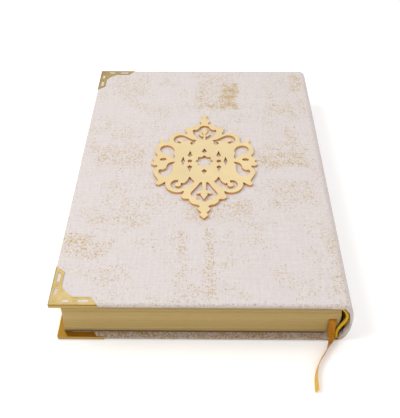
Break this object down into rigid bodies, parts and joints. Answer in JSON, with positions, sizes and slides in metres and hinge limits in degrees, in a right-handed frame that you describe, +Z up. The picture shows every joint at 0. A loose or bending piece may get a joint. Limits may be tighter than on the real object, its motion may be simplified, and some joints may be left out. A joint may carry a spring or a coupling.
{
  "type": "prayer book",
  "caption": "Closed hardcover prayer book, bound at the right, with a rounded spine, metal corners, a pierced medallion and a ribbon marker; both covers and the first leaves turn.",
  "frame": {"origin": "centre of the footprint on the table, without the ribbon's free end", "axes": "+X towards the spine, +Y towards the head of the book, +Z up out of the front cover"},
  "size_m": [0.1776, 0.2817, 0.0374],
  "materials": {
    "leaf_paper": "trimmed, gilt-tinted edges",
    "end_paper": "uncoated",
    "linen": "unbleached",
    "lining_paper": "kraft",
    "band_silk": "ribbed",
    "ribbon_satin": "satin",
    "board": "grey board",
    "cover_cloth": "fine weave, worn gold print",
    "corner_metal": "polished",
    "medallion_metal": "satin"
  },
  "bodies": {
    "text_block": {"section_01": "leaf_paper", "section_02": "leaf_paper", "section_03": "leaf_paper", "section_04": "leaf_paper", "section_05": "leaf_paper", "section_06": "leaf_paper", "section_07": "leaf_paper", "section_08": "leaf_paper", "section_09": "leaf_paper", "section_10": "leaf_paper", "section_11": "leaf_paper", "section_12": "leaf_paper", "section_13": "leaf_paper", "section_14": "leaf_paper", "section_15": "leaf_paper", "section_16": "leaf_paper", "section_17": "leaf_paper", "section_18": "leaf_paper", "sewing_thread": "linen", "spine_mull": "linen", "spine_lining": "lining_paper", "headband": "band_silk", "tailband": "band_silk", "ribbon_strip": "ribbon_satin", "ribbon_tail": "ribbon_satin", "spine_board": "board", "spine_cloth": "cover_cloth", "front_joint_cloth": "cover_cloth", "back_joint_cloth": "cover_cloth", "front_hinge_paper": "end_paper", "back_hinge_paper": "end_paper"},
    "front_cover": {"front_board": "board", "front_cloth": "cover_cloth", "front_pastedown": "end_paper", "front_corner_head": "corner_metal", "front_corner_tail": "corner_metal", "medallion": "medallion_metal"},
    "back_cover": {"back_board": "board", "back_cloth": "cover_cloth", "back_pastedown": "end_paper", "back_corner_head": "corner_metal", "back_corner_tail": "corner_metal"},
    "leaves_1": {"leaves_1": "leaf_paper"},
    "leaves_2": {"leaves_2": "leaf_paper"},
    "leaves_3": {"leaves_3": "leaf_paper"},
    "leaves_4": {"leaves_4": "leaf_paper"},
    "front_flyleaf": {"front_flyleaf": "end_paper"},
    "back_flyleaf": {"back_flyleaf": "end_paper"}
  },
  "joints": [
    {"name": "front_cover_hinge", "type": "hinge", "parent": "text_block", "child": "front_cover", "pos_m": [0.08182, 0, 0.03098], "axis": [0, 1, 0], "range_deg": [0, 180], "deforming": ["front_joint_cloth", "front_hinge_paper"]},
    {"name": "back_cover_hinge", "type": "hinge", "parent": "text_block", "child": "back_cover", "pos_m": [0.08182, 0, 0.0048], "axis": [0, -1, 0], "range_deg": [0, 180], "deforming": ["back_joint_cloth", "back_hinge_paper"]},
    {"name": "leaves_4_turn", "type": "hinge", "parent": "text_block", "child": "leaves_4", "pos_m": [0.08097, 0, 0.02933], "axis": [0, 1, 0], "range_deg": [0, 36]},
    {"name": "leaves_3_turn", "type": "hinge", "parent": "leaves_4", "child": "leaves_3", "pos_m": [0.08072, 0, 0.03003], "axis": [0, 1, 0], "range_deg": [0, 36]},
    {"name": "leaves_2_turn", "type": "hinge", "parent": "leaves_3", "child": "leaves_2", "pos_m": [0.08046, 0, 0.03073], "axis": [0, 1, 0], "range_deg": [0, 36]},
    {"name": "leaves_1_turn", "type": "hinge", "parent": "leaves_2", "child": "leaves_1", "pos_m": [0.08018, 0, 0.03143], "axis": [0, 1, 0], "range_deg": [0, 36]},
    {"name": "front_flyleaf_turn", "type": "hinge", "parent": "leaves_1", "child": "front_flyleaf", "pos_m": [0.07992, 0, 0.03213], "axis": [0, 1, 0], "range_deg": [0, 23.4]},
    {"name": "back_flyleaf_turn", "type": "hinge", "parent": "text_block", "child": "back_flyleaf", "pos_m": [0.08068, 0, 0.00365], "axis": [0, -1, 0], "range_deg": [0, 167.4]}
  ],
  "couplings": [
    {"joint": "leaves_4_turn", "follows": "front_cover_hinge", "ratio": 0.2},
    {"joint": "leaves_3_turn", "follows": "front_cover_hinge", "ratio": 0.2},
    {"joint": "leaves_2_turn", "follows": "front_cover_hinge", "ratio": 0.2},
    {"joint": "leaves_1_turn", "follows": "front_cover_hinge", "ratio": 0.2},
    {"joint": "front_flyleaf_turn", "follows": "front_cover_hinge", "ratio": 0.13},
    {"joint": "back_flyleaf_turn", "follows": "back_cover_hinge", "ratio": 0.93}
  ]
}
